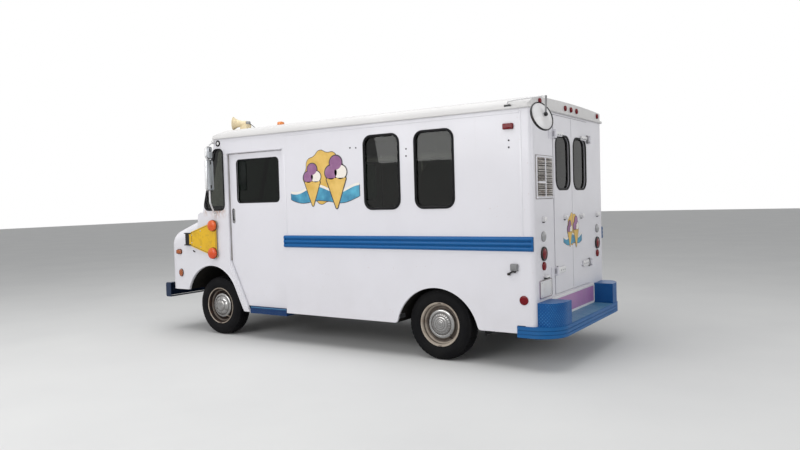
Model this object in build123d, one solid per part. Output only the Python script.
from build123d import *
import math
import os

# Walk-in ice cream truck, sizes in millimetres.
# While it is drawn, X runs forwards from the front axle, Y to the driver's left, Z up from the road.
# The finished solids are moved so that the origin lies midway between the bumpers.

# Overall sizes
wheelbase = 3175.0
rear_overhang = 1275.0
body_width = 2014.0
eaves_z = 2420.0
roof_top_z = 2546.0
skirt_z = 355.0

# Walls, gaps and fits
wall = 25.0
floor_thick = 40.0
panel_gap = 6.0
seat_gap = 0.3
pin_fit = 0.05
glass_thick = 6.0
rebate = 14.0

# Wheels and running gear
tyre_radius = 360.0
tyre_width = 205.0
rim_radius = 209.0
wheel_centre_y = 845.0
kingpin_y = 715.0
spindle_radius = 22.0
rail_y = 405.0
rail_width = 60.0
rail_height = 180.0
rail_lift = 80.0

# Nose and cab front
nose_length = 850.0
cowl_x = 226.0
cowl_z = 1506.0
belt_z = 1530.0
windshield_lean = 0.2922
hood_drop = 0.354
fender_bottom_z = 549.0
nose_corner = 150.0
slant_top_z = 935.0
slant_run = 0.495
arch_band = 84.16
arch_lead = 48.0

# Doors
door_seam_x = -1189.0
door_top_z = 2228.0
door_thick = 30.0
door_face_gap = 7.0
door_travel = 850.0
rear_corner_width = 507.0
rear_door_sill = 5.0
rear_door_top_z = 2395.0
rear_door_thick = 35.0
hinge_offset = 30.0

# Bumpers
rear_bumper_depth = 220.0
rear_bumper_z = (318.0, 425.0)
front_bumper_drop = 6.0
front_bumper_depth = 95.0
front_bumper_reach = 105.0
step_plate_thick = 4.0

# Worked out from the sizes above
half = body_width / 2
inner = half - wall
rear_axle_x = -wheelbase
rear_wall_x = -(wheelbase + rear_overhang - rear_bumper_depth)
corner_x = rear_wall_x + 100.0
bumper_rear_x = -(wheelbase + rear_overhang)
hub_z = tyre_radius
front_overhang = nose_length + front_bumper_reach
rail_bottom_z = tyre_radius + rail_lift
rail_top_z = rail_bottom_z + rail_height
floor_top_z = rail_top_z + floor_thick
rear_door_bottom_z = floor_top_z + rear_door_sill
rear_door_half = half - rear_corner_width
front_bumper_z = (rail_bottom_z - front_bumper_drop, rail_top_z)
rail_inner_y = rail_y - rail_width / 2
rail_outer_y = rail_y + rail_width / 2
rail_front_x = front_overhang - front_bumper_depth
rail_rear_x = rear_wall_x + wall
arch_radius = tyre_radius + 89.0
arch_z = tyre_radius + 56.0
front_arch = (arch_lead, arch_z, arch_radius)
# The slanted edge of the door keeps a band of even width between itself and the front arch
slant_length = math.hypot(1.0, slant_run)
door_edge_x = arch_lead - (arch_band + arch_radius) * slant_length
cab_rear_x = door_edge_x + (slant_top_z - arch_z) * slant_run
rear_arch = (rear_axle_x - 3.0, tyre_radius - 98.0, tyre_radius + 115.0)
door_outer_y = inner - door_face_gap
door_inner_y = door_outer_y - door_thick
clear_y = door_inner_y - 15.0
origin_x = (front_overhang + bumper_rear_x) / 2


def block(x, y, z):
    """Box between three pairs of limits."""
    solid = Box(x[1] - x[0], y[1] - y[0], z[1] - z[0])
    return Pos((x[0] + x[1]) / 2, (y[0] + y[1]) / 2, (z[0] + z[1]) / 2) * solid


def shape(points, radius=0.0):
    """Closed flat outline, all of its corners rounded by one radius."""
    face = make_face(Polyline(*points, close=True))
    return fillet(face.vertices(), radius) if radius else face


def window(centre, size, radius):
    """Rounded rectangle at a centre in its sketch."""
    return Pos(*centre) * RectangleRounded(size[0], size[1], radius)


def from_side(sketch, y0, y1):
    """Extrude a sketch of X and Z across the body."""
    plane = Plane(origin=(0, y0, 0), x_dir=(1, 0, 0), z_dir=(0, -1, 0))
    return extrude(plane * sketch, amount=y1 - y0, dir=(0, 1, 0))


def from_rear(sketch, x0, x1):
    """Extrude a sketch of Y and Z along the body."""
    plane = Plane(origin=(x0, 0, 0), x_dir=(0, 1, 0), z_dir=(1, 0, 0))
    return extrude(plane * sketch, amount=x1 - x0, dir=(1, 0, 0))


def from_top(sketch, z0, z1):
    """Extrude a sketch of X and Y upwards."""
    return extrude(Plane.XY.offset(z0) * sketch, amount=z1 - z0, dir=(0, 0, 1))


def rod(start, end, radius):
    """Straight round bar between two points."""
    a, b = Vector(start), Vector(end)
    return extrude(Plane(origin=a, z_dir=b - a) * Circle(radius), amount=(b - a).length)


def tube_path(points, radius, bends):
    """Round bar bent along points with tangent arcs."""
    path = FilletPolyline(*points, radius=bends)
    return sweep(Plane(origin=path @ 0, z_dir=path % 0) * Circle(radius), path=path)


def turned(points, centre, direction=(0, 1, 0)):
    """Revolve an outline of (distance along the axle, radius) about an axle through centre."""
    face = make_face(Polyline(*[(r, a) for a, r in points], close=True))
    solid = revolve(Plane(origin=(0, 0, 0), x_dir=(1, 0, 0), z_dir=(0, 0, 1)) * face, axis=Axis.Y)
    if direction[1] < 0:
        solid = mirror(solid, about=Plane.XZ)
    return Pos(*centre) * solid


def both(solid):
    """The solid and its mirror image on the other side of the truck."""
    return [solid, mirror(solid, about=Plane.XZ)]


def solids_of(items):
    """All solids of a list of shapes."""
    found = []
    for item in items:
        found.extend(item.solids())
    return found


def save(name, *items):
    """Write one node, moved so that the origin lies midway between the bumpers."""
    whole = Compound(children=solids_of(items))
    export_step(whole.moved(Location((-origin_x, 0, 0))), f"parts/{name}.step")


# Outlines shared by several pieces

def windshield_x(z):
    """Front surface of the windshield panel at a height."""
    return cowl_x - (z - cowl_z) * windshield_lean


def slant_x(z):
    """Slanted lower edge in front of the cab door."""
    return cab_rear_x - max(0.0, slant_top_z - z) * slant_run


hood_root = (268.0, 1458.0)
nose_arc = 200.0
slope = math.atan(hood_drop)
nose_peak_z = hood_root[1] - hood_drop * (nose_length - hood_root[0])
arc_tangent = nose_arc * math.tan((math.pi / 2 - slope) / 2)


def nose_outline(inset, bottom):
    """Side outline of the nose below the belt line, inset by a wall thickness."""
    front = nose_length - inset
    start = Vector(front - arc_tangent * math.cos(slope), nose_peak_z + arc_tangent * math.sin(slope))
    end = Vector(front, nose_peak_z - arc_tangent)
    down = inset / math.cos(slope)
    root = (hood_root[0] - inset, hood_root[1] - down)
    lines = Polyline((end.X, end.Y - down), (front, bottom),
                     (slant_x(bottom) + inset, bottom), (slant_x(slant_top_z) + inset, slant_top_z),
                     (cab_rear_x + inset, belt_z), (windshield_x(belt_z) - inset, belt_z),
                     (cowl_x + 36.0 - inset, cowl_z), root, (start.X, start.Y - down))
    arc = TangentArc((start.X, start.Y - down), (end.X, end.Y - down),
                     tangent=(math.cos(slope), -math.sin(slope)))
    return make_face([lines, arc])


def arch_cut(arch, z_low):
    """Wheel arch of the front: a round top whose rear side runs down parallel to the door edge."""
    x, z, r = arch
    touch = (x - r / slant_length, z + r * slant_run / slant_length)
    foot = (touch[0] - (touch[1] - z_low) * slant_run, z_low)
    round_top = Pos(x, z) * Circle(r)
    return round_top + shape([touch, foot, (x + r, z_low), (x + r, z)])


# Chassis

def chassis_frame():
    """Ladder frame of two channel rails and six cross members."""
    thick = 7.0
    web = rail_outer_y - thick
    channel = shape([(rail_outer_y, rail_bottom_z), (rail_outer_y, rail_top_z),
                     (rail_inner_y, rail_top_z), (rail_inner_y, rail_top_z - thick),
                     (web, rail_top_z - thick), (web, rail_bottom_z + thick),
                     (rail_inner_y, rail_bottom_z + thick), (rail_inner_y, rail_bottom_z)])
    rail = from_rear(channel, rail_rear_x, rail_front_x)
    frame = rail + mirror(rail, about=Plane.XZ)
    engine_seat = (rail_bottom_z + 1.0, rail_bottom_z + 40.0)
    high = (rail_top_z - 70.0, rail_top_z - 10.0)
    # Cross members: centre X, width along X, lower and upper Z
    members = [(720.0, 60.0, (rail_bottom_z + 1.0, rail_bottom_z + 60.0)), (250.0, 80.0, engine_seat),
               (-150.0, 80.0, engine_seat), (rear_axle_x + 1500.0, 70.0, high),
               (rear_axle_x + 500.0, 70.0, high), (rail_rear_x + 60.0, 70.0, high)]
    for x, width, z in members:
        frame += block((x - width / 2, x + width / 2), (-rail_outer_y + 1.0, rail_outer_y - 1.0), z)
    return frame


spring_y = (rail_outer_y + 25.0, rail_outer_y + 85.0)
spring_half = 520.0
spring_rise = 100.0
leaf_thick = 9.0


def leaf_spring(axle_x, seat_z, leaves):
    """One pack of bowed leaves, lowest on the axle and rising to its two eyes, with hangers on the rail."""
    bow = (spring_half ** 2 + spring_rise ** 2) / (2 * spring_rise)
    pack = None
    for number in range(leaves):
        reach = spring_half * (1.0 - number / leaves * 0.8)
        radius = bow - (leaves - 1 - number) * leaf_thick
        lap = 1.0 if number else 0.0
        ring_band = Circle(radius) - Circle(radius - leaf_thick - lap)
        strip = ring_band & Pos(0, -bow) * Rectangle(2 * reach, 400.0)
        leaf = from_side(Pos(axle_x, seat_z + bow) * strip, spring_y[0], spring_y[1])
        pack = leaf if pack is None else pack + leaf
    main_leaf = bow - (leaves - 0.5) * leaf_thick
    eye_z = seat_z + bow - math.sqrt(main_leaf ** 2 - spring_half ** 2)
    for side in (-1, 1):
        x = axle_x + side * spring_half
        pack += rod((x, spring_y[0], eye_z), (x, spring_y[1], eye_z), 18.0)
        pack += block((x - 25.0, x + 25.0), (rail_outer_y + seat_gap, spring_y[0] + 6.0),
                      (rail_bottom_z + 10.0, rail_bottom_z + 130.0))
    clamp_z = (seat_z, seat_z + leaves * leaf_thick + 12.0)
    for side in (-1, 1):
        x = axle_x + side * 45.0
        pack += block((x - 6.0, x + 6.0), (spring_y[0] - 6.0, spring_y[1] + 6.0), clamp_z)
    return pack


axle_tube = 45.0
beam_z = hub_z - 40.0
front_spring_seat = beam_z + 35.0
rear_spring_seat = hub_z + axle_tube


def leaf_springs():
    """Four leaf packs, two on each axle."""
    packs = both(leaf_spring(0.0, front_spring_seat + seat_gap, 3))
    packs += both(leaf_spring(rear_axle_x, rear_spring_seat + seat_gap, 4))
    return packs


kingpin_radius = 14.0
ear_half = 38.0
ear_thick = 18.0


def front_axle():
    """Forged I beam with an upright kingpin at each end."""
    web = shape([(-30.0, -35.0), (30.0, -35.0), (30.0, -22.0), (7.0, -22.0), (7.0, 22.0), (30.0, 22.0),
                 (30.0, 35.0), (-30.0, 35.0), (-30.0, 22.0), (-7.0, 22.0), (-7.0, -22.0), (-30.0, -22.0)])
    reach = kingpin_y - 50.0
    beam = from_side(Pos(0, beam_z) * web, -reach, reach)
    eye_half = ear_half - 5.0
    for side in (-1, 1):
        y = side * kingpin_y
        beam += rod((0, y, hub_z - eye_half), (0, y, hub_z + eye_half), 26.0)
        pin_half = ear_half + ear_thick
        beam += rod((0, y, hub_z - pin_half), (0, y, hub_z + pin_half), kingpin_radius)
        beam += block((-30.0, 30.0), sorted((y - side * 50.0, y - side * 85.0)),
                      (beam_z - 35.0, hub_z + eye_half - 3.0))
        beam += block((-26.0, 26.0), sorted((y, y - side * 54.0)),
                      (hub_z - eye_half, hub_z + eye_half - 3.0))
        beam += block((-40.0, 40.0), sorted((side * spring_y[0], side * spring_y[1])),
                      (front_spring_seat - 10.0, front_spring_seat))
    return beam


knuckle_plate_y = 752.0
spindle_end_y = 880.0
brake_plate_radius = 140.0


def knuckle(side):
    """Steering knuckle: two ears on the kingpin, a back plate, the spindle and its steering arm."""
    y = side * kingpin_y
    body = None
    for z in (hub_z - ear_half - ear_thick, hub_z + ear_half):
        ear = rod((0, y, z), (0, y, z + ear_thick), 30.0)
        ear += block((-28.0, 28.0), sorted((y, side * knuckle_plate_y)), (z, z + ear_thick))
        body = ear if body is None else body + ear
    body += rod((0, side * (knuckle_plate_y - 6.0), hub_z), (0, side * (knuckle_plate_y + 6.0), hub_z),
                brake_plate_radius)
    body += rod((0, side * knuckle_plate_y, hub_z), (0, side * spindle_end_y, hub_z), spindle_radius)
    arm_z = hub_z - ear_half - ear_thick
    body += block((-170.0, 0.0), sorted((y - side * 20.0, y + side * 20.0)), (arm_z, arm_z + ear_thick))
    bore = rod((0, y, arm_z - 1.0), (0, y, hub_z + ear_half + ear_thick + 1.0), kingpin_radius + pin_fit)
    return body - bore


def rear_axle():
    """Axle tube with its differential, brake drums, stub shafts and the drive shaft."""
    axle = rod((rear_axle_x, -700.0, hub_z), (rear_axle_x, 700.0, hub_z), axle_tube)
    diff = Pos(rear_axle_x, 0, hub_z) * Sphere(150.0)
    diff &= block((rear_axle_x - 200.0, rear_axle_x + 200.0), (-105.0, 105.0), (0.0, 2 * hub_z))
    axle += diff
    axle += rod((rear_axle_x + 100.0, 0, hub_z), (rear_axle_x + 260.0, 0, hub_z), 60.0)
    for side in (-1, 1):
        axle += rod((rear_axle_x, side * 660.0, hub_z), (rear_axle_x, side * 752.0, hub_z), 150.0)
        axle += rod((rear_axle_x, side * 740.0, hub_z), (rear_axle_x, side * spindle_end_y, hub_z),
                    spindle_radius)
        seat_y = sorted((side * spring_y[0], side * spring_y[1]))
        axle += block((rear_axle_x - 40.0, rear_axle_x + 40.0), seat_y, (hub_z, rear_spring_seat))
    run = gearbox_x[0] - rear_axle_x - 240.0
    shaft_radius = 38.0
    tilt = shaft_radius * (gearbox_z - hub_z) / run
    axle += rod((rear_axle_x + 240.0, 0, hub_z), (gearbox_x[0] - seat_gap - tilt, 0, gearbox_z),
                shaft_radius)
    return axle


gearbox_x = (-900.0, -260.0)
gearbox_z = rail_bottom_z + 80.0


engine_x = (gearbox_x[1], 430.0)
engine_half = 230.0
engine_top_z = 1040.0
gearbox_half = 130.0
radiator_x = (690.0, 750.0)
radiator_half = 300.0


def engine():
    """Engine block, gearbox and radiator as plain blocks in their real places."""
    power = block(engine_x, (-engine_half, engine_half), (rail_bottom_z + 40.0, engine_top_z))
    power += block(gearbox_x, (-gearbox_half, gearbox_half), (gearbox_z - 70.0, gearbox_z + 90.0))
    radiator = block(radiator_x, (-radiator_half, radiator_half), (rail_bottom_z + 60.0, engine_top_z))
    return [power, radiator]


pipe_radius = 26.0


def exhaust():
    """Silencer and its pipes, hung from the right rail."""
    y = -(rail_outer_y + 110.0)
    z = rail_bottom_z - pipe_radius - 14.0
    pipe = tube_path([(-200.0, -250.0, z), (-620.0, -250.0, z), (-900.0, y, z), (-1150.0, y, z)],
                     pipe_radius, 90.0)
    muffler = rod((-1750.0, y, z), (-1140.0, y, z), 85.0)
    tail = tube_path([(-1740.0, y, z), (-2300.0, y, z), (-2520.0, -half + 60.0, z - 60.0)],
                     pipe_radius, 90.0)
    run = pipe + muffler + tail
    for x in (-1250.0, -1650.0):
        run += block((x - 15.0, x + 15.0), (y, -(rail_outer_y + seat_gap)), (z + 60.0, z + 76.0))
    return run


def fuel_tank():
    """Tank on the left rail, held by two straps."""
    y = (rail_outer_y + 20.0, half - 172.0)
    tank = block((-2400.0, -1620.0), y, (375.0, 585.0))
    tank = fillet(tank.edges().filter_by(Axis.X), 40.0)
    for x in (-2250.0, -1770.0):
        tank += block((x - 20.0, x + 20.0), (rail_outer_y + seat_gap, y[0] + 50.0), (470.0, 560.0))
    return tank


# Body

house_thick = 5.0
arch_flare = 38.0
front_house_y = 525.0
rear_house_y = 615.0


def house_shape(arch, grow):
    """Section of a wheel house: the arch grown by a little, open below."""
    x, z, r = arch
    if arch is front_arch:
        return arch_cut((x, z, r + grow), skirt_z)
    return Pos(x, z) * Circle(r + grow) + shape([(x - r - grow, skirt_z), (x + r + grow, skirt_z),
                                                 (x + r + grow, z), (x - r - grow, z)])


def wheel_house(arch, wall_y):
    """Wheel house on the left: a round liner with its inner wall, which leaves room for the axle."""
    x = arch[0]
    outer = from_side(house_shape(arch, house_thick + 2.0), wall_y, inner)
    hollow = from_side(house_shape(arch, 2.0), wall_y + house_thick, inner + 1.0)
    house = (outer - hollow) & block((x - 900.0, x + 900.0), (0.0, half), (skirt_z + 2.0, eaves_z))
    house -= block((x - 330.0, x + 330.0), (wall_y - 1.0, wall_y + house_thick + 1.0),
                   (0.0, rail_top_z - 100.0))
    if arch is front_arch:
        house -= block((x, nose_length), (0.0, half), (0.0, fender_bottom_z + 2.0))
    return house


door_stop_x = (rear_door_thick - 5.0 + seat_gap, rear_door_thick + 7.0 + seat_gap)
step_z = (317.0, 395.0)
step_x = (door_seam_x + 5.0, slant_x(step_z[1]) - 46.7)
step_inner_y = 700.0
tunnel_half = 270.0
tunnel_rear_x = -340.0
firewall_x = (180.0, 190.0)
cover_thick = 20.0
cover_top_z = 1110.0


def wheel_houses():
    """Round liners over the four wheels, each with its inner wall, seated in the floor's notches."""
    return both(wheel_house(front_arch, front_house_y)) + both(wheel_house(rear_arch, rear_house_y))


def floor():
    """Floor pan, notched for the wheel houses, the step wells and the engine."""
    floor_z = (floor_top_z - floor_thick, floor_top_z)
    pan = block((rear_wall_x + door_stop_x[1] + seat_gap, firewall_x[1]), (-clear_y, clear_y), floor_z)
    for side in (-1, 1):
        y = sorted((side * step_inner_y, side * half))
        pan -= block((step_x[0] - 10.0, step_x[1] + 60.0), y, (floor_z[0] - 1.0, floor_z[1] + 1.0))
    pan -= block((tunnel_rear_x, firewall_x[1] + 1.0), (-tunnel_half, tunnel_half),
                 (floor_z[0] - 1.0, floor_z[1] + 1.0))
    for arch, wall_y in ((front_arch, front_house_y), (rear_arch, rear_house_y)):
        room = from_side(house_shape(arch, house_thick + 2.0 + seat_gap), wall_y - seat_gap, half)
        for notch in both(room):
            pan -= notch
    # Outriggers that carry the side walls behind the door pocket
    sill = block((corner_x, rear_arch[0] - rear_arch[2] - 20.0), (clear_y - 1.0, inner), floor_z)
    front_sill = block((rear_arch[0] + rear_arch[2] + 20.0, door_seam_x - door_travel - 60.0),
                       (clear_y - 1.0, inner), floor_z)
    for solid in both(sill) + both(front_sill):
        pan += solid
    return pan


def firewall():
    """Upright sheet between the cab and the engine bay, cut round the engine cover and the wheel houses."""
    side = inner - seat_gap
    house_top = front_arch[1] + front_arch[2] + house_thick + 2.0
    low, high = floor_top_z + seat_gap, belt_z - seat_gap
    foot = front_house_y - seat_gap
    cover = cover_top_z - cover_thick
    right_half = [(tunnel_half, cover), (tunnel_half, low), (foot, low), (foot, house_top), (side, house_top),
                  (side, high)]
    left_half = [(-y, z) for y, z in reversed(right_half)]
    return from_rear(shape(right_half + left_half), *firewall_x)


side_window_size = (419.0, 743.0)
side_window_z = 1912.5
side_window_x = (rear_wall_x + 1032.0, rear_wall_x + 1660.5)
serving_size = (1047.0, 743.0)
serving_x = (side_window_x[0] + side_window_x[1]) / 2
track_z = (door_top_z + 12.0, door_top_z + 72.0)
track_y = (door_inner_y - 15.0, inner)
track_wall = 6.0


def pane_hole(centre, size, radius, y_outer, y_inner):
    """Window hole through a side wall with the wider rebate that holds the pane."""
    middle = (y_outer + y_inner) / 2
    hole = from_side(window(centre, size, radius), y_inner - 2.0, y_outer + 2.0)
    wide = window(centre, (size[0] + 2 * rebate, size[1] + 2 * rebate), radius + rebate)
    return hole + from_side(wide, y_inner - 2.0, middle)


def pane(centre, size, radius, y_outer, y_inner):
    """Glass pane seated in the rebate of its hole."""
    middle = (y_outer + y_inner) / 2
    grow = 2 * rebate - 2.0
    sketch = window(centre, (size[0] + grow, size[1] + grow), radius + rebate - 1.0)
    return from_side(sketch, middle - seat_gap - glass_thick, middle - seat_gap)


def door_track():
    """Channel in the header that carries the rollers of the cab door."""
    x = (door_seam_x - door_travel - 40.0, cab_rear_x - 5.0)
    outer = block(x, track_y, track_z)
    room = block((x[0] - 1.0, x[1] + 1.0), (track_y[0] + 5.0, inner - 5.0),
                 (track_z[0] + track_wall, track_z[1] - track_wall))
    slot_y = (door_inner_y + 6.0, door_outer_y - 6.0)
    slot = block((x[0] - 1.0, x[1] + 1.0), slot_y, (track_z[0] - 1.0, track_z[0] + track_wall + 1.0))
    return outer - room - slot


def rear_arch_cut():
    """Round rear wheel arch whose two feet flare into the skirt with a small radius."""
    x, z, r = rear_arch
    cut = Pos(x, z) * Circle(r)
    rise = skirt_z + arch_flare - z
    reach = math.sqrt((r + arch_flare) ** 2 - rise ** 2)
    low = skirt_z - 1.0
    for side in (-1, 1):
        centre = (x + side * reach, skirt_z + arch_flare)
        touch = (x + side * reach * r / (r + arch_flare), z + rise * r / (r + arch_flare))
        inside = x + side * 0.8 * reach
        foot = shape([touch, (inside, touch[1]), (inside, low), (centre[0], low)])
        cut += foot - Pos(*centre) * Circle(arch_flare)
    return cut


def side_panel(windows):
    """Left side wall behind the cab door, its header above the door and the door track."""
    notch_z = rear_bumper_z[1] + 5.0
    outline = shape([(corner_x, notch_z), (corner_x + 85.0, notch_z), (corner_x + 85.0, skirt_z),
                     (door_seam_x, skirt_z), (door_seam_x, door_top_z + 4.0), (cab_rear_x, door_top_z + 4.0),
                     (cab_rear_x, eaves_z), (corner_x, eaves_z)])
    panel = from_side(outline, inner, half)
    panel -= from_side(rear_arch_cut(), inner - 1.0, half + 1.0)
    for centre, size in windows:
        panel -= pane_hole(centre, size, 80.0, half, inner)
    return panel + door_track()


left_windows = [((x, side_window_z), side_window_size) for x in side_window_x]
right_windows = [((serving_x, side_window_z), serving_size)]


def front_fenders():
    """Hollow nose from the belt line down, with both wheel arches."""
    outer = from_side(nose_outline(0.0, fender_bottom_z), -half, half)
    front_edges = [e for e in outer.edges().filter_by(Axis.Z) if e.center().X > nose_length - 1.0]
    outer = fillet(front_edges, nose_corner)
    strip_z = 330.0
    strip = shape([(slant_x(slant_top_z), slant_top_z), (slant_x(strip_z), strip_z),
                   (slant_x(strip_z) + 80.0, strip_z), (200.0, fender_bottom_z + 40.0), (200.0, slant_top_z)])
    outer += from_side(strip, inner, half) + from_side(strip, -half, -inner)
    hollow = from_side(nose_outline(20.0, fender_bottom_z - 50.0), -inner, inner)
    room = block((-2000.0, firewall_x[1]), (-inner, inner), (0.0, belt_z + 1.0))
    shell = outer - hollow - room
    shell -= from_side(arch_cut(front_arch, 200.0), -half - 1.0, half + 1.0)
    shell -= block((nose_length - 40.0, nose_length + 1.0), (-rail_outer_y - 12.0, rail_outer_y + 12.0),
                   (0.0, front_bumper_z[1] + 8.0))
    shell -= grille_hole()
    for side in (-1, 1):
        y = side * lamp_y
        shell -= rod((nose_length - 60.0, y, lamp_z), (nose_length + 10.0, y, lamp_z), lamp_radius + seat_gap)
    shell -= hood_cut(panel_gap, hood_front_gap)
    return shell + hood_ledge()


hood_half = 640.0
hood_x = (hood_root[0] + 40.0, nose_length - 105.0)
hood_thick = 18.0
hood_front_gap = 12.0


def hood_cut(grow, front):
    """Block through the top of the nose that the hood closes, grown all round and at the front."""
    x = (hood_x[0] - grow, hood_x[1] + front)
    return block(x, (-hood_half - grow, hood_half + grow), (nose_peak_z - 90.0, hood_root[1] + 80.0))


def hood_ledge():
    """Rain channel under the rim of the hood."""
    band = from_side(nose_outline(hood_thick + seat_gap, fender_bottom_z), -half + 30.0, half - 30.0)
    band -= from_side(nose_outline(hood_thick + 6.0, fender_bottom_z - 50.0), -half, half)
    lap = 12.0
    rim = hood_cut(panel_gap + lap, hood_front_gap + lap) - hood_cut(-lap, -lap)
    return band & rim


def hood():
    """Hood panel that follows the top of the nose."""
    skin = from_side(nose_outline(0.0, fender_bottom_z), -half, half)
    skin -= from_side(nose_outline(hood_thick, fender_bottom_z - 50.0), -half - 1.0, half + 1.0)
    return skin & hood_cut(0.0, 0.0)


lamp_y = 690.0
lamp_z = 880.0
lamp_radius = 92.0
grille_half = 500.0
grille_z = (730.0, 1040.0)
grille_bars = 7


def grille_hole():
    """Opening of the grille in the front face."""
    height = grille_z[1] - grille_z[0]
    centre = (0.0, (grille_z[0] + grille_z[1]) / 2)
    return from_rear(window(centre, (2 * grille_half, height), 60.0), nose_length - 60.0, nose_length + 60.0)


def grille():
    """Frame with seven slats behind the front opening."""
    height = grille_z[1] - grille_z[0]
    centre = (0.0, (grille_z[0] + grille_z[1]) / 2)
    rim = window(centre, (2 * grille_half - 2 * seat_gap, height - 2 * seat_gap), 60.0 - seat_gap)
    hole = window(centre, (2 * grille_half - 40.0, height - 40.0), 40.0)
    frame = from_rear(rim - hole, nose_length - 22.0, nose_length + 6.0)
    bars = None
    for number in range(grille_bars):
        z = grille_z[0] + height * (number + 1) / (grille_bars + 1)
        back, front = nose_length - 18.0, nose_length + 2.0
        bar = shape([(back, z - 6.0), (front, z - 9.0), (front, z + 3.0), (back, z + 6.0)])
        solid = from_side(bar, -grille_half + 12.0, grille_half - 12.0)
        bars = solid if bars is None else bars + solid
    return frame + bars


def cab_front():
    """Upper cab: windshield surround, corner pillars and quarter window surrounds."""
    thick = 30.0

    def outline(inset, low, high):
        return shape([(cab_rear_x, low), (windshield_x(low) - inset, low),
                      (windshield_x(high) - inset, high), (cab_rear_x, high)])
    outer = from_side(outline(0.0, belt_z, eaves_z), -half, half)
    lean_edges = [e for e in outer.edges() if e.center().X > windshield_x(eaves_z) - 1.0
                  and abs(abs(e.center().Y) - half) < 1.0 and abs(e.length - (eaves_z - belt_z)) < 60.0]
    outer = fillet(lean_edges, 70.0)
    hollow = from_side(outline(thick * 1.042, belt_z - 20.0, eaves_z + 20.0), -inner, inner)
    hollow += block((cab_rear_x - 10.0, cab_rear_x + 10.0), (-inner, inner), (belt_z - 10.0, eaves_z + 10.0))
    shell = outer - hollow
    for side in (-1, 1):
        shell -= windshield_hole(side)
    shell -= quarter_hole() + mirror(quarter_hole(), about=Plane.XZ)
    return shell


windshield_z = (1600.0, 2330.0)
windshield_y = (28.0, 880.0)


def windshield_plane(depth):
    """Plane of the windshield, a depth behind its outer face, local x to the left and y upwards."""
    lean = math.atan(windshield_lean)
    normal = Vector(math.cos(lean), 0, math.sin(lean))
    origin = Vector(windshield_x(cowl_z), 0, cowl_z) - normal * depth
    return Plane(origin=origin, x_dir=(0, 1, 0), z_dir=tuple(normal))


def windshield_sketch(side, grow):
    """Outline of one of the two flat panes, in the plane of the windshield."""
    lean = math.atan(windshield_lean)
    low = (windshield_z[0] - cowl_z) / math.cos(lean)
    high = (windshield_z[1] - cowl_z) / math.cos(lean)
    centre = (side * (windshield_y[0] + windshield_y[1]) / 2, (low + high) / 2)
    size = (windshield_y[1] - windshield_y[0] + 2 * grow, high - low + 2 * grow)
    return window(centre, size, 70.0 + grow)


def windshield_hole(side):
    """Hole of one pane with the rebate that holds the glass."""
    hole = extrude(windshield_plane(60.0) * windshield_sketch(side, 0.0), amount=90.0)
    wide = extrude(windshield_plane(60.0) * windshield_sketch(side, rebate - 2.0), amount=45.0)
    return hole + wide


def quarter_sketch(grow):
    """Quarter window: upright behind, parallel to the windshield in front, rounded corners."""
    low, high = 1561.0, 2295.0
    rear = cab_rear_x + 72.0
    lead = 62.0
    points = [(rear, low), (windshield_x(low) - lead, low), (windshield_x(high) - lead, high), (rear, high)]
    face = shape(points, 60.0)
    return offset(face, amount=grow) if grow else face


def quarter_hole():
    """Hole of the quarter window with the rebate that holds the glass."""
    hole = from_side(quarter_sketch(0.0), inner - 2.0, half + 2.0)
    return hole + from_side(quarter_sketch(rebate - 4.0), inner - 2.0, (inner + half) / 2)


def fixed_glass():
    """Panes that don't move: windshield, quarter windows and side windows."""
    panes = []
    for side in (-1, 1):
        sketch = windshield_plane(15.0 + seat_gap + glass_thick) * windshield_sketch(side, rebate - 3.0)
        panes.append(extrude(sketch, amount=glass_thick))
    middle = (inner + half) / 2 - seat_gap
    panes += both(from_side(quarter_sketch(rebate - 5.0), middle - glass_thick, middle))
    for centre, size in left_windows:
        panes.append(pane(centre, size, 80.0, half, inner))
    for centre, size in right_windows:
        glass = pane(centre, size, 80.0, half, inner)
        panes.append(mirror(glass, about=Plane.XZ))
    return panes


gasket_width = 28.0
gasket_proud = 9.0


def ring(centre, size, radius):
    """Flat rubber ring round a window on the side wall."""
    wide = window(centre, (size[0] + 2 * gasket_width, size[1] + 2 * gasket_width), radius + gasket_width)
    return from_side(wide - window(centre, size, radius), half + seat_gap, half + gasket_proud)


def window_gaskets():
    """Black rubber round the fixed windows."""
    rings = [ring(centre, size, 80.0) for centre, size in left_windows]
    for centre, size in right_windows:
        rings.append(mirror(ring(centre, size, 80.0), about=Plane.XZ))
    quarter_ring = quarter_sketch(20.0) - quarter_sketch(0.0)
    rings += both(from_side(quarter_ring, half + seat_gap, half + gasket_proud))
    for side in (-1, 1):
        band = windshield_sketch(side, 18.0) - windshield_sketch(side, 0.0)
        rings.append(extrude(windshield_plane(-seat_gap) * band, amount=gasket_proud))
    return rings


def serving_counter():
    """Narrow counter under the serving window on the right, on three brackets."""
    z = side_window_z - serving_size[1] / 2 - gasket_width - 14.0
    x = (serving_x - 540.0, serving_x + 540.0)
    shelf = block(x, (-half - 150.0, -half - seat_gap), (z - 20.0, z))
    for place in (x[0] + 80.0, serving_x, x[1] - 80.0):
        leg = shape([(-half - seat_gap, z - 20.0), (-half - 130.0, z - 20.0), (-half - seat_gap, z - 130.0)])
        shelf += from_rear(leg, place - 8.0, place + 8.0)
    return shelf


roof_lip = 20.0
lip_height = 22.0
roof_radius = 95.0
roof_crown = 22.0


def roof_z(y):
    """Height of the crowned roof at a distance from the middle."""
    return roof_top_z - roof_crown * (y / half) ** 2


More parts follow.
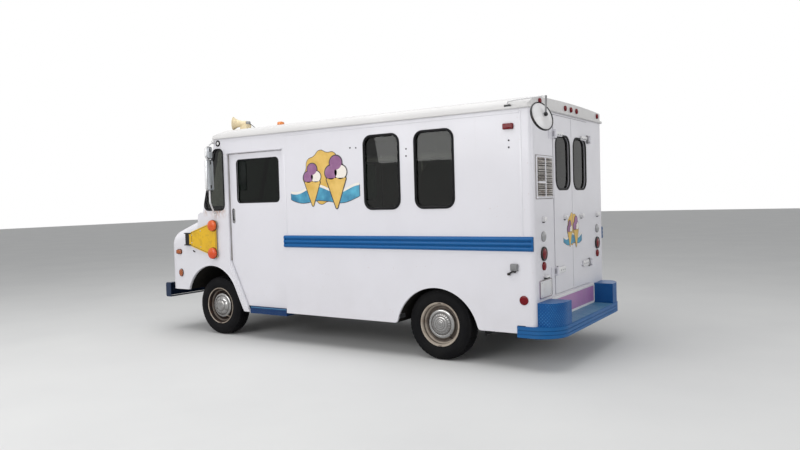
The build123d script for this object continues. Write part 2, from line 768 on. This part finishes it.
def roof_solid(inset):
    """Roof volume: plan with round corners, a crowned section and a nose that slopes to the windshield."""
    side = half - inset
    top = roof_top_z - inset
    rear = rear_wall_x - 8.0 + inset
    front = windshield_x(eaves_z) - inset
    shoulder = top - roof_crown
    low = eaves_z - 60.0
    section = make_face([Polyline((side, shoulder), (side, low), (-side, low), (-side, shoulder)),
                         ThreePointArc((-side, shoulder), (0, top), (side, shoulder))])
    corners = [v for v in section.vertices() if v.Y > shoulder - 1.0]
    section = fillet(corners, roof_radius - inset)
    body = from_rear(section, rear, front + 40.0)
    profile = shape([(rear, eaves_z - 60.0), (front + 17.5, eaves_z - 60.0), (front - 15.0, eaves_z + 51.0),
                     (front - 300.0, top + 4.0), (front - 320.0, top + 30.0), (rear, top + 30.0)])
    body &= from_side(profile, -half, half)
    plan = Pos((rear + front + 40.0) / 2, 0) * Rectangle(front + 40.0 - rear, 2 * side)
    corner_round = from_top(fillet(plan.vertices(), 70.0), eaves_z - 70.0, roof_top_z + 50.0)
    return body & corner_round


def roof_cap():
    """Hollow roof cap with its drip lip."""
    shell = roof_solid(0.0) - roof_solid(15.0)
    shell &= block((rear_wall_x - 200.0, 600.0), (-half - 50.0, half + 50.0), (eaves_z, roof_top_z + 60.0))
    x = (rear_wall_x - 8.0, windshield_x(eaves_z))
    middle = Pos((x[0] + x[1]) / 2, 0)
    outer = middle * RectangleRounded(x[1] - x[0] + 2 * roof_lip - 8.0, body_width + 2 * roof_lip, 75.0)
    hole = middle * RectangleRounded(x[1] - x[0] - 60.0, body_width - 60.0, 60.0)
    return shell + from_top(outer - hole, eaves_z, eaves_z + lip_height)


def rear_frame():
    """Rear wall round the double doors, with its rounded corner posts."""
    outer = block((rear_wall_x, corner_x), (-half, half), (rear_bumper_z[1], eaves_z))
    posts = [e for e in outer.edges().filter_by(Axis.Z) if e.center().X < rear_wall_x + 1.0]
    outer = fillet(posts, 45.0)
    outer -= block((rear_wall_x + wall, corner_x + 1.0), (-inner, inner), (0.0, eaves_z + 1.0))
    opening = rear_door_half + panel_gap
    outer -= block((rear_wall_x - 1.0, corner_x), (-opening, opening),
                   (rear_door_bottom_z - panel_gap, rear_door_top_z + panel_gap))
    height = rear_door_top_z - rear_door_bottom_z + 2 * panel_gap
    middle = Pos(0, (rear_door_bottom_z + rear_door_top_z) / 2)
    rim = Rectangle(2 * opening + 40.0, height + 40.0)
    lip = middle * (rim - Rectangle(2 * opening - 30.0, height - 30.0))
    root = middle * (rim - Rectangle(2 * opening, height))
    frame = outer + from_rear(lip, rear_wall_x + door_stop_x[0], rear_wall_x + door_stop_x[1])
    frame += from_rear(root, rear_wall_x + wall - 1.0, rear_wall_x + door_stop_x[1])
    for z in hinge_heights:
        for side in (-1, 1):
            frame += hinge_bracket(side, z)
    return frame


hinge_heights = (890.0, 2210.0)
hinge_y = rear_door_half + 15.0
hinge_x = rear_wall_x - 5.0 - hinge_offset
barrel_radius = 13.0
hinge_pin = 6.0
barrel_half = 22.0
ear_height = 18.0


def hinge_bracket(side, z):
    """Body half of a rear door hinge: plate, two ears and the pin."""
    y = side * hinge_y
    plate_y = sorted((side * (hinge_y - 2.0), side * (hinge_y + 90.0)))
    plate = block((rear_wall_x - 7.0, rear_wall_x + 1.0), plate_y, (z - 45.0, z + 45.0))
    ear_y = sorted((side * (hinge_y - 4.0), side * (hinge_y + barrel_radius)))
    for low in (z - barrel_half - 1.0 - ear_height, z + barrel_half + 1.0):
        plate += rod((hinge_x, y, low), (hinge_x, y, low + ear_height), barrel_radius)
        plate += block((hinge_x, rear_wall_x), ear_y, (low, low + ear_height))
    pin_half = barrel_half + ear_height
    plate += rod((hinge_x, y, z - pin_half), (hinge_x, y, z + pin_half), hinge_pin)
    return plate


rear_pane_centre = (rear_door_half / 2 - 1.0, 1942.0)
rear_pane_size = (rear_door_half - 118.0, 516.0)
strap_tip_y = hinge_y - 245.0
knob_place = (rear_door_half - 260.0, 1400.0)


def rear_door(side):
    """Rear door with its window hole, hinge straps and barrels."""
    face_x = rear_wall_x - 5.0
    y = sorted((side * 4.0, side * rear_door_half))
    door = block((face_x, face_x + rear_door_thick), y, (rear_door_bottom_z, rear_door_top_z))
    centre = (side * rear_pane_centre[0], rear_pane_centre[1])
    middle = face_x + rear_door_thick / 2
    door -= from_rear(window(centre, rear_pane_size, 100.0), face_x - 1.0, face_x + rear_door_thick + 1.0)
    wide = (rear_pane_size[0] + 2 * rebate, rear_pane_size[1] + 2 * rebate)
    door -= from_rear(window(centre, wide, 100.0 + rebate), middle, face_x + rear_door_thick + 1.0)
    y = side * hinge_y
    for z in hinge_heights:
        root, tip = side * (hinge_y - 14.0), side * strap_tip_y
        strap = shape([(tip, z - 14.0), (root, z - barrel_half + 1.0), (root, z + barrel_half - 1.0),
                       (tip, z + 14.0)])
        door += from_rear(strap, face_x - 8.0, face_x + 1.0)
        arm_y = sorted((side * (hinge_y - 30.0), side * (hinge_y - 6.0)))
        door += block((hinge_x, face_x), arm_y, (z - barrel_half + 1.0, z + barrel_half - 1.0))
        door += rod((hinge_x, y, z - barrel_half), (hinge_x, y, z + barrel_half), barrel_radius)
        door -= rod((hinge_x, y, z - 50.0), (hinge_x, y, z + 50.0), hinge_pin + pin_fit)
    y, z = side * knob_place[0], knob_place[1]
    door += rod((face_x - 26.0, y, z), (face_x + 1.0, y, z), 14.0)
    return door


def rear_door_glass(side):
    """Pane of a rear door."""
    centre = (side * rear_pane_centre[0], rear_pane_centre[1])
    size = (rear_pane_size[0] + 2 * rebate - 2.0, rear_pane_size[1] + 2 * rebate - 2.0)
    x = rear_wall_x - 5.0 + rear_door_thick / 2 + seat_gap
    return from_rear(window(centre, size, 100.0 + rebate - 1.0), x, x + glass_thick)


cab_pane_centre = ((door_seam_x + cab_rear_x) / 2 - 20.5, 1895.0)
cab_pane_size = (cab_rear_x - door_seam_x - 219.0, 511.0)
roller_radius = 16.0


def cab_door(side):
    """Sliding cab door with its slanted lower front corner and two roller hangers."""
    low = step_z[1] + panel_gap
    front = cab_rear_x + 12.0
    outline = shape([(door_seam_x - 15.0, low), (slant_x(low) + 12.0, low), (front, slant_top_z),
                     (front, door_top_z), (door_seam_x - 15.0, door_top_z)])
    door = from_side(outline, door_inner_y, door_outer_y)
    door -= pane_hole(cab_pane_centre, cab_pane_size, 45.0, door_outer_y, door_inner_y)
    middle = (door_inner_y + door_outer_y) / 2
    roller_z = track_z[0] + track_wall + seat_gap + roller_radius
    for x in (door_seam_x + 120.0, cab_rear_x - 120.0):
        door += block((x - 25.0, x + 25.0), (middle - 3.0, middle + 3.0), (door_top_z - 1.0, roller_z + 6.0))
        door += rod((x, track_y[0] + 10.0, roller_z), (x, inner - 10.0, roller_z), roller_radius)
    return door if side > 0 else mirror(door, about=Plane.XZ)


def cab_door_glass(side):
    """Pane of a sliding cab door."""
    glass = pane(cab_pane_centre, cab_pane_size, 45.0, door_outer_y, door_inner_y)
    return glass if side > 0 else mirror(glass, about=Plane.XZ)


def door_steps():
    """Blue entry steps: tread, outer lip, riser and end plates."""
    tread = block(step_x, (step_inner_y, half), (step_z[1] - 6.0, step_z[1]))
    tread += block(step_x, (half - 6.0, half), step_z)
    tread += block(step_x, (step_inner_y, step_inner_y + 5.0), (step_z[1] - 1.0, floor_top_z - floor_thick))
    for x in step_x:
        inward = 5.0 if x == step_x[0] else -5.0
        tread += block(sorted((x, x + inward)), (step_inner_y, door_inner_y - 5.0),
                       (step_z[1] - 1.0, floor_top_z - floor_thick))
        tread += block(sorted((x, x + inward)), (step_inner_y, half - 1.0), step_z)
    return both(tread)


rail_rib_radius = 19.0
rub_rail_z = (1115.0, 1250.0)


def rub_rails():
    """Blue guard rails with three round ribs, one on each side."""
    x = (rear_wall_x + 4.0, door_seam_x - 6.0)
    height = rub_rail_z[1] - rub_rail_z[0]
    middle = (rub_rail_z[0] + rub_rail_z[1]) / 2
    face = half + seat_gap
    rail = block(x, (face, face + 6.0), rub_rail_z)
    for number in range(3):
        z = middle + (number - 1) * height / 3
        bar = rod((x[0], face + 4.0, z), (x[1], face + 4.0, z), rail_rib_radius)
        rail += bar & block(x, (face + 1.0, face + 60.0), rub_rail_z)
    return both(rail)


# Bumpers

def front_bumper():
    """Deep channel bumper with closed ends."""
    x = (front_overhang - front_bumper_depth, front_overhang)
    beam = block(x, (-half + 10.0, half - 10.0), front_bumper_z)
    beam = fillet([e for e in beam.edges().filter_by(Axis.Y) if e.center().X > x[1] - 1.0], 25.0)
    hollow = block((x[0] - 1.0, x[1] - 6.0), (-half + 16.0, half - 16.0),
                   (front_bumper_z[0] + 6.0, front_bumper_z[1] - 6.0))
    beam -= hollow
    for side in (-1, 1):
        beam += block((x[0], x[1] - 5.0), sorted((side * (rail_inner_y + 5.0), side * (rail_outer_y - 5.0))),
                      (rail_bottom_z + 20.0, rail_top_z - 20.0))
    return beam


def bumper_plan(grow):
    """Plan of the rear bumper: straight behind, round at the corners, along the sides to its ends."""
    side = half + 12.0 + grow
    points = [(bumper_rear_x - grow, -side), (bumper_rear_x - grow, side), (corner_x + 80.0, side),
              (corner_x + 80.0, -side)]
    face = shape(points)
    rear = [v for v in face.vertices() if v.X < corner_x]
    return fillet(rear, 260.0 + grow)


def rear_bumper():
    """Step bumper: ribbed band with a tread plate on top."""
    low, high = rear_bumper_z
    side_room = Pos(corner_x + 60.0, 0) * Rectangle(140.0, body_width + 4.0)
    cavity = bumper_plan(-46.0) + side_room
    band = from_top(bumper_plan(-6.0) - cavity, low, high)
    rib_height = (high - low) / 3
    for number in range(3):
        z = low + number * rib_height
        rib = bumper_plan(0.0) - bumper_plan(-30.0) - side_room
        band += from_top(rib, z + 4.0, z + rib_height - 4.0)
    tread = bumper_plan(-3.0) & Pos(rear_wall_x - 250.0, 0) * Rectangle(500.0, body_width + 100.0)
    band += from_top(tread, high - 6.0, high)
    for side in (-1, 1):
        y = sorted((side * (rail_inner_y + 8.0), side * rail_outer_y))
        band += block((bumper_rear_x + 20.0, rail_rear_x + 150.0), y, (high - 90.0, high - 5.0))
        band += block((rail_rear_x + 30.0, rail_rear_x + 150.0), y, (high - 6.0, rail_bottom_z))
    return band


box_y = (half - 357.0, half - 47.0)


def step_plate():
    """Tread plate of the rear step, between the two corner boxes."""
    width = 2 * (box_y[0] - panel_gap)
    top = rear_bumper_z[1]
    plan = bumper_plan(-10.0) & Pos(rear_wall_x - 250.0 - seat_gap, 0) * Rectangle(500.0, width)
    return from_top(plan, top + seat_gap, top + step_plate_thick)


def bumper_boxes():
    """Tread plate boxes on the two corners of the rear bumper."""
    top = 640.0
    area = Pos(rear_wall_x - 150.0, (box_y[0] + box_y[1]) / 2) * Rectangle(300.0, box_y[1] - box_y[0])
    plan = bumper_plan(-8.0) & area
    solid = from_top(plan, rear_bumper_z[1], top)
    room = Pos(rear_wall_x - 154.0, (box_y[0] + box_y[1]) / 2) * Rectangle(300.0, box_y[1] - box_y[0] - 8.0)
    hole = bumper_plan(-12.0) & room
    return both(solid - from_top(hole, rear_bumper_z[1] - 1.0, top - 4.0))


# Fittings

def lens(centre, radius, depth, normal):
    """Round lamp: a short drum with a domed face, standing on a wall."""
    rise = depth * 0.45
    return Plane(origin=centre, z_dir=normal) * domed(radius, 0.0, depth - rise, depth)


def domed(radius, low, rim, top):
    """Drum from low to rim along Z, closed by a spherical cap that rises to top."""
    rise = top - rim
    ball = (radius ** 2 + rise ** 2) / (2 * rise)
    half_angle = math.asin(radius / ball) / 2
    middle = (ball * math.sin(half_angle), top - ball + ball * math.cos(half_angle))
    section = make_face([Line((0, low), (radius, low)), Line((radius, low), (radius, rim)),
                         ThreePointArc((radius, rim), middle, (0, top)), Line((0, top), (0, low))])
    return revolve(Plane.XZ * section, axis=Axis.Z)


def front_lamps():
    """Headlamps and the amber lamps on the front corners."""
    lamps = []
    for side in (-1, 1):
        lamps.append(lens((nose_length - 40.0, side * lamp_y, lamp_z), lamp_radius, 62.0, (1, 0, 0)))
        lamps.append(lens((nose_length + seat_gap, side * lamp_y, lamp_z + 190.0), 45.0, 22.0, (1, 0, 0)))
        y = half + seat_gap
        bar = from_side(window((641.0, 1032.0), (84.0, 52.0), 20.0), y, y + 24.0)
        oval = from_side(Pos(614.0, 762.0) * Ellipse(30.0, 45.0), y, y + 20.0)
        lamps += [bar, oval] if side > 0 else [mirror(bar, about=Plane.XZ), mirror(oval, about=Plane.XZ)]
    return lamps


rear_lamp_y = half - 217.0
clearance_lamp_y = half - 171.0


def rear_lamps():
    """Tail lamps, roof clearance lamps, side markers, reflectors and the plate lamp."""
    lamps = []
    x = rear_wall_x - seat_gap
    # Height and radius of the three round lamps on each side
    stack = [(1240.0, 50.0), (1080.0, 66.0), (964.0, 42.0)]
    for side in (-1, 1):
        for z, radius in stack:
            lamps.append(lens((x, side * rear_lamp_y, z), radius, 42.0, (-1, 0, 0)))
        lamps.append(lens((x - 8.0, side * clearance_lamp_y, 2490.0), 26.0, 22.0, (-1, 0, 0)))
    for y in (-160.0, 5.0, 170.0):
        lamps.append(lens((x - 8.0, y, 2484.0), 26.0, 22.0, (-1, 0, 0)))
    marker = window((rear_wall_x + 230.0, 2265.0), (104.0, 54.0), 8.0)
    lamps += both(from_side(marker, half + seat_gap, half + 28.0))
    lamps += both(lens((rear_wall_x + 110.0, half + seat_gap, 665.0), 44.0, 14.0, (0, 1, 0)))
    lamps.append(block((x - 42.0, x), (half - 292.0, half - 210.0), (848.0, 876.0)))
    return lamps


def vent_louvre():
    """Louvred vent on the left of the rear wall: a frame with two columns of slats."""
    x = rear_wall_x - seat_gap
    y, z = (half - 462.0, half - 82.0), (1612.0, 1975.0)
    centre = ((y[0] + y[1]) / 2, (z[0] + z[1]) / 2)
    vent = from_rear(Pos(*centre) * Rectangle(y[1] - y[0], z[1] - z[0]), x - 5.0, x)
    columns = [(y[0] + 18.0, centre[0] - 10.0), (centre[0] + 10.0, y[1] - 18.0)]
    slats = 11
    pitch = (z[1] - z[0] - 40.0) / slats
    for left, right in columns:
        for number in range(slats):
            base = z[0] + 20.0 + number * pitch
            top = base + pitch
            slat = shape([(x - 4.0, top - 4.0), (x - 17.0, base + 8.0), (x - 19.0, base + 10.0),
                          (x - 4.0, top - 1.0)])
            vent += from_side(slat, left, right)
    return vent


def rear_plates():
    """Blank board across the rear above the bumper and the blank number plate."""
    x = rear_wall_x - seat_gap
    board = from_rear(window((-10.0, 535.0), (2 * box_y[0] - 30.0, 205.0), 10.0), x - 8.0, x)
    plate = from_rear(window((half - 255.0, 752.0), (290.0, 165.0), 12.0), x - 6.0, x)
    return [board, plate]


mirror_head = (-204.0, half + 193.0, 2005.0)
arm_radius = 10.0
mirror_feet = ((-52.0, 1512.0), (-62.0, 2390.0))


def mirror_frame():
    """Left front mirror: bent tube from the side wall, with a tall and a small round-cornered head."""
    x, y, z = mirror_head
    foot = half + seat_gap
    low, high = mirror_feet
    tube = tube_path([(low[0], foot + arm_radius, low[1]), (x + 18.0, y, 1650.0), (x + 18.0, y, 2330.0),
                      (high[0], foot + arm_radius, high[1])], arm_radius, 45.0)
    pad_low = from_side(window(low, (60.0, 42.0), 12.0), foot, foot + arm_radius + 2.0)
    pad_high = from_side(window(high, (50.0, 42.0), 12.0), foot, foot + arm_radius + 2.0)
    main = RectangleRounded(178.0, 370.0, 20.0)
    small = RectangleRounded(150.0, 144.0, 30.0)
    toe = 24.0
    # Distance of each head's centre above the frame's middle
    for sketch, rise in ((main, -25.0), (small, 241.0)):
        plane = Plane(origin=(x, y, z + rise), x_dir=(0, 1, 0), z_dir=(1, 0, 0))
        head = extrude(plane * sketch, amount=22.0)
        head = head.rotate(Axis((x, y, z), (0, 0, 1)), toe)
        tube += head
    return tube + pad_low + pad_high


dish_centre = (rear_wall_x - 158.0, half + 173.0, 2303.0)
dish_radius = 128.0


def rear_mirror():
    """Round convex mirror behind the left rear corner, on its bent arm."""
    back = Vector(-0.788, 0.272, 0.268).normalized()
    centre = Vector(*dish_centre)
    dish = Plane(origin=centre, z_dir=back) * domed(dish_radius, 0.0, 14.0, 44.0)
    nut = centre + back * 56.0
    top = (dish_centre[0] - 62.0, dish_centre[1] + 30.0, 2478.0)
    foot = (rear_wall_x + 230.0, half + 11.0, eaves_z + lip_height + seat_gap)
    elbow = (rear_wall_x + 230.0, half + 11.0, 2492.0)
    bend = (rear_wall_x + 60.0, half + 70.0, 2492.0)
    arm = tube_path([foot, elbow, bend, top, tuple(nut)], 8.0, 28.0)
    stem = rod(centre + back * 38.0, centre + back * 66.0, 12.0)
    return dish + stem + arm


def mirrors():
    """Both front mirrors and the round rear mirror."""
    return both(mirror_frame()) + [rear_mirror()]


sign_pivot = (402.0, half + 26.0)
sign_pin = 6.0
sign_z = (1130.0, 1262.0)


def sign_bracket():
    """Black bracket of the warning sign with its upright pin."""
    x, y = sign_pivot
    low, high = sign_z
    plate = block((x + 16.0, x + 105.0), (half + seat_gap, half + 12.0), (low - 14.0, high + 14.0))
    for z in (low - 14.0, high + 2.0):
        plate += block((x, x + 100.0), (half + 8.0, y + 10.0), (z, z + 12.0))
        plate += rod((x, y, z), (x, y, z + 12.0), 10.0)
    plate += rod((x, y, low - 10.0), (x, y, high + 10.0), sign_pin)
    return plate


def sign_arm():
    """Swing-out warning sign: blank plate, two round lamps and the hinge barrel."""
    x, y = sign_pivot
    low, high = sign_z
    outline = shape([(x - 22.0, 1107.0), (-85.0, 971.0), (-85.0, 1428.0), (x - 22.0, 1286.0)])
    arm = from_side(outline, y - 3.0, y + 3.0)
    barrel = rod((x, y, low + 1.0), (x, y, high - 1.0), 10.0)
    barrel += block((x - 40.0, x), (y - 3.0, y + 3.0), (low + 1.0, high - 1.0))
    arm += barrel
    arm -= rod((x, y, low - 20.0), (x, y, high + 20.0), sign_pin + pin_fit)
    for place in ((-35.0, 1367.0), (-27.0, 1026.0)):
        arm += lens((place[0], y + 2.0, place[1]), 66.0, 46.0, (0, 1, 0))
    return arm


def roof_horn():
    """Loudspeaker horn on a foot and a small amber lamp, near the left edge of the roof."""
    x, y = -345.0, half - 207.0
    base = roof_z(y - 40.0) + seat_gap
    foot = block((x - 130.0, x - 20.0), (y - 40.0, y + 40.0), (base, base + 60.0))
    # Radius of the horn and distance along its axis
    bell = [(0, 0), (34.0, 0), (36.0, 60.0), (48.0, 110.0), (78.0, 160.0), (74.0, 160.0), (30.0, 90.0),
            (0, 90.0)]
    section = make_face(Polyline(*bell, close=True))
    mouth = Plane(origin=(x - 80.0, y - 10.0, base + 70.0), z_dir=Vector(0.86, 0.5, 0.05))
    horn = mouth * revolve(Plane.XZ * section, axis=Axis.Z)
    lamp_y_inset = 127.0
    lamp_base = roof_z(half - lamp_y_inset - 40.0) + seat_gap
    lamp = lens((-1075.0, half - lamp_y_inset, lamp_base), 40.0, 38.0, (0, 0, 1))
    return [foot + horn, lamp]


# Wheels

disc_y = 30.0


def wheel(axle_x, side, front):
    """Steel wheel with drop centre rim, dished disc, hub barrel and bright hubcap."""
    lip = rim_radius + 13.0
    half_rim = 82.0
    # Distance outboard of the wheel's middle and radius
    under = [(half_rim, lip), (half_rim + 5.0, lip), (half_rim + 5.0, lip - 4.0),
             (half_rim - 4.0, rim_radius - 6.0), (45.0, rim_radius - 10.0), (25.0, rim_radius - 36.0)]
    over = [(28.0, rim_radius - 29.0), (48.0, rim_radius - 3.0), (half_rim - 9.0, rim_radius)]
    rim = under + [(-y, r) for y, r in reversed(under)] + [(-y, r) for y, r in reversed(over)] + over
    centre = (axle_x, side * wheel_centre_y, hub_z)
    body = turned(rim, centre, (0, side, 0))
    reach = rim_radius - 34.0
    hub_in = -(wheel_centre_y - knuckle_plate_y) + 8.0
    disc = [(hub_in, spindle_radius + pin_fit), (hub_in, 62.0), (disc_y - 6.0, 66.0), (disc_y - 6.0, 120.0),
            (4.0, reach), (14.0, reach), (disc_y + 6.0, 128.0), (disc_y + 6.0, spindle_radius + pin_fit)]
    body += turned(disc, centre, (0, side, 0))
    cap_radius = 148.0
    depth = 62.0 if front else 52.0
    cap = [(disc_y + 5.0, 0.0), (disc_y + 5.0, cap_radius), (disc_y + 12.0, cap_radius),
           (disc_y + 24.0, cap_radius - 14.0), (disc_y + 30.0, cap_radius - 44.0),
           (disc_y + depth - 14.0, cap_radius - 62.0), (disc_y + depth - 8.0, 50.0), (disc_y + depth, 30.0),
           (disc_y + depth, 0.0)]
    body += turned(cap, centre, (0, side, 0))
    body -= rod((axle_x, side * (wheel_centre_y - 200.0), hub_z),
                (axle_x, side * (spindle_end_y + 1.0), hub_z), spindle_radius + pin_fit)
    return body


def tyre(axle_x, side):
    """Tyre with a crowned tread, round shoulders and bulging side walls."""
    wide = tyre_width / 2
    bead = 84.0
    # Radius and distance from the wheel's middle, from the bead over the outer shoulder to the crown
    seat = [(rim_radius + 14.5, bead - 1.0), (rim_radius + 1.0, bead - 12.0), (rim_radius - 2.0, bead - 34.0)]
    bulge, shoulder = (rim_radius + 62.0, wide), (tyre_radius - 22.0, bead - 2.0)
    corner, edge = (tyre_radius - 7.0, bead - 11.0), (tyre_radius - 3.0, 62.0)

    def across(point):
        return (point[0], -point[1])
    face = make_face([
        Polyline(*seat, *[across(p) for p in reversed(seat)]),
        ThreePointArc(across(seat[0]), across(bulge), across(shoulder)),
        ThreePointArc(across(shoulder), across(corner), across(edge)),
        ThreePointArc(across(edge), (tyre_radius, 0), edge),
        ThreePointArc(edge, corner, shoulder),
        ThreePointArc(shoulder, bulge, seat[0])])
    return Pos(axle_x, side * wheel_centre_y, hub_z) * revolve(face, axis=Axis.Y)


# Inside the cab and the load space

seat_centre = (-640.0, 470.0)
pedestal_half = 130.0
pedestal_height = 290.0
cushion_half = 230.0
cushion_thick = 100.0
back_size = (100.0, 430.0, 520.0)
back_lean = 12.0
pad_radius = 25.0


def driver_seat():
    """Driver's seat on its pedestal."""
    x, y = seat_centre
    top = floor_top_z + pedestal_height
    seat = block((x - pedestal_half, x + pedestal_half), (y - pedestal_half, y + pedestal_half),
                 (floor_top_z, top))
    cushion = block((x - cushion_half, x + cushion_half), (y - cushion_half, y + cushion_half),
                    (top, top + cushion_thick))
    cushion = fillet(cushion.edges(), pad_radius)
    thick, width, height = back_size
    back = block((-thick / 2, thick / 2), (-width / 2, width / 2), (0.0, height))
    back = fillet(back.edges(), pad_radius)
    back = Pos(x - cushion_half + 15.0, y, top + cushion_thick - 30.0) * Rot(0, -back_lean, 0) * back
    return seat + cushion + back


wheel_tilt = 55.0
steering_centre = (-300.0, seat_centre[1], floor_top_z + 630.0)


def steering_wheel():
    """Steering wheel with three spokes on its column."""
    lean = math.radians(wheel_tilt)
    up = Vector(-math.cos(lean), 0, math.sin(lean))
    centre = Vector(*steering_centre)
    plane = Plane(origin=centre, z_dir=up)
    rim = plane * Torus(215.0, 12.0)
    hub = rod(centre - up * 40.0, centre + up * 8.0, 38.0)
    for angle in (90.0, 210.0, 330.0):
        spoke = Rot(0, 0, angle) * block((10.0, 215.0), (-11.0, 11.0), (-5.0, 5.0))
        hub += plane * spoke
    foot = centre - up * ((steering_centre[2] - floor_top_z) / math.sin(lean))
    column = rod(centre - up * 30.0, foot, 24.0)
    column &= block((-900.0, 900.0), (-half, half), (floor_top_z, 2000.0))
    return rim + hub + column


dash_face_x = -60.0
dash_z = (1180.0, 1470.0)


def dashboard():
    """Dashboard across the cab under the windshield."""
    front = firewall_x[0] - seat_gap
    low, high = dash_z
    outline = shape([(dash_face_x, low + 110.0), (dash_face_x + 120.0, low), (front, low), (front, high),
                     (dash_face_x + 40.0, high), (dash_face_x, high - 50.0)], 20.0)
    return from_side(outline, -inner + seat_gap, inner - seat_gap)


def engine_cover():
    """Padded cover over the engine between the seats."""
    low = floor_top_z + seat_gap
    front = firewall_x[0] - seat_gap
    outer = shape([(tunnel_rear_x - 30.0, low), (tunnel_rear_x + 60.0, cover_top_z - 20.0),
                   (front - 50.0, cover_top_z), (front, cover_top_z), (front, low)])
    width = (-tunnel_half, tunnel_half)
    cover = from_side(outer, width[0] - cover_thick, width[1] + cover_thick)
    cover -= from_side(offset(outer, amount=-cover_thick), *width)
    # Open towards the engine bay and below
    cover -= block((0.0, firewall_x[1]), width, (0.0, cover_top_z - cover_thick))
    cover -= block((tunnel_rear_x, firewall_x[1]), width, (0.0, floor_top_z + 2 * cover_thick))
    return cover


shelf_z = 2060.0
shelf_depth = 342.0


def shelf():
    """Long shelf above the left windows on its brackets."""
    x = (rear_wall_x + 300.0, door_seam_x - door_travel - 80.0)
    front = inner - shelf_depth
    board = block(x, (front, inner - seat_gap), (shelf_z - 20.0, shelf_z))
    board += block(x, (front - 4.0, front + 2.0), (shelf_z - 40.0, shelf_z + 30.0))
    for place in (x[0] + 40.0, (x[0] + x[1]) / 2 - 20.0, x[1] - 40.0):
        leg = shape([(inner - seat_gap, shelf_z - 20.0), (inner - 200.0, shelf_z - 20.0),
                     (inner - seat_gap, shelf_z - 160.0)])
        board += from_rear(leg, place - 6.0, place + 6.0)
    return board


freezer_size = (1300.0, 640.0, 800.0)
freezer_rear_x = -2640.0
freezer_wall_gap = 92.0
lid_thick = 50.0
lid_lap = 5.0


def freezer():
    """Chest freezer along the left wall behind the driver, with its lapped lid."""
    length, width, height = freezer_size
    x = (freezer_rear_x, freezer_rear_x + length)
    y = (inner - freezer_wall_gap - width, inner - freezer_wall_gap)
    top = floor_top_z + height
    chest = block(x, y, (floor_top_z, top))
    chest = fillet(chest.edges().filter_by(Axis.Z), 25.0)
    lid = block((x[0] - lid_lap, x[1] + lid_lap), (y[0] - lid_lap, y[1] + lid_lap), (top, top + lid_thick))
    return chest + fillet(lid.edges().filter_by(Axis.Z), 25.0)


def main():
    """Build every node and write it."""
    os.makedirs("parts", exist_ok=True)
    save("chassis_frame", chassis_frame())
    save("leaf_springs", *leaf_springs())
    save("front_axle", front_axle())
    save("rear_axle", rear_axle())
    save("engine", *engine())
    save("exhaust", exhaust())
    save("fuel_tank", fuel_tank())
    save("floor", floor())
    save("wheel_houses", *wheel_houses())
    save("left_side_panel", side_panel(left_windows))
    save("right_side_panel", mirror(side_panel(right_windows), about=Plane.XZ))
    save("front_fenders", front_fenders())
    save("hood", hood())
    save("grille", grille())
    save("cab_front", cab_front())
    save("fixed_glass", *fixed_glass())
    save("window_gaskets", *window_gaskets())
    save("serving_counter", serving_counter())
    save("roof_cap", roof_cap())
    save("rear_frame", rear_frame())
    save("door_steps", *door_steps())
    save("rub_rails", *rub_rails())
    save("front_bumper", front_bumper())
    save("rear_bumper", rear_bumper())
    save("bumper_boxes", *bumper_boxes())
    save("step_plate", step_plate())
    save("front_lamps", *front_lamps())
    save("rear_lamps", *rear_lamps())
    save("vent_louvre", vent_louvre())
    save("rear_plates", *rear_plates())
    save("mirrors", *mirrors())
    save("sign_bracket", sign_bracket())
    save("sign_arm", sign_arm())
    save("roof_horn", *roof_horn())
    save("driver_seat", driver_seat())
    save("steering_wheel", steering_wheel())
    save("dashboard", dashboard())
    save("engine_cover", engine_cover())
    save("firewall", firewall())
    save("shelf", shelf())
    save("freezer", freezer())
    for name, side in (("left", 1), ("right", -1)):
        save(f"{name}_cab_door", cab_door(side))
        save(f"{name}_cab_door_glass", cab_door_glass(side))
        save(f"{name}_rear_door", rear_door(side))
        save(f"{name}_rear_door_glass", rear_door_glass(side))
        save(f"{name}_knuckle", knuckle(side))
        for place, axle_x, front in (("front", 0.0, True), ("rear", rear_axle_x, False)):
            save(f"{place}_{name}_wheel", wheel(axle_x, side, front))
            save(f"{place}_{name}_tyre", tyre(axle_x, side))


main()
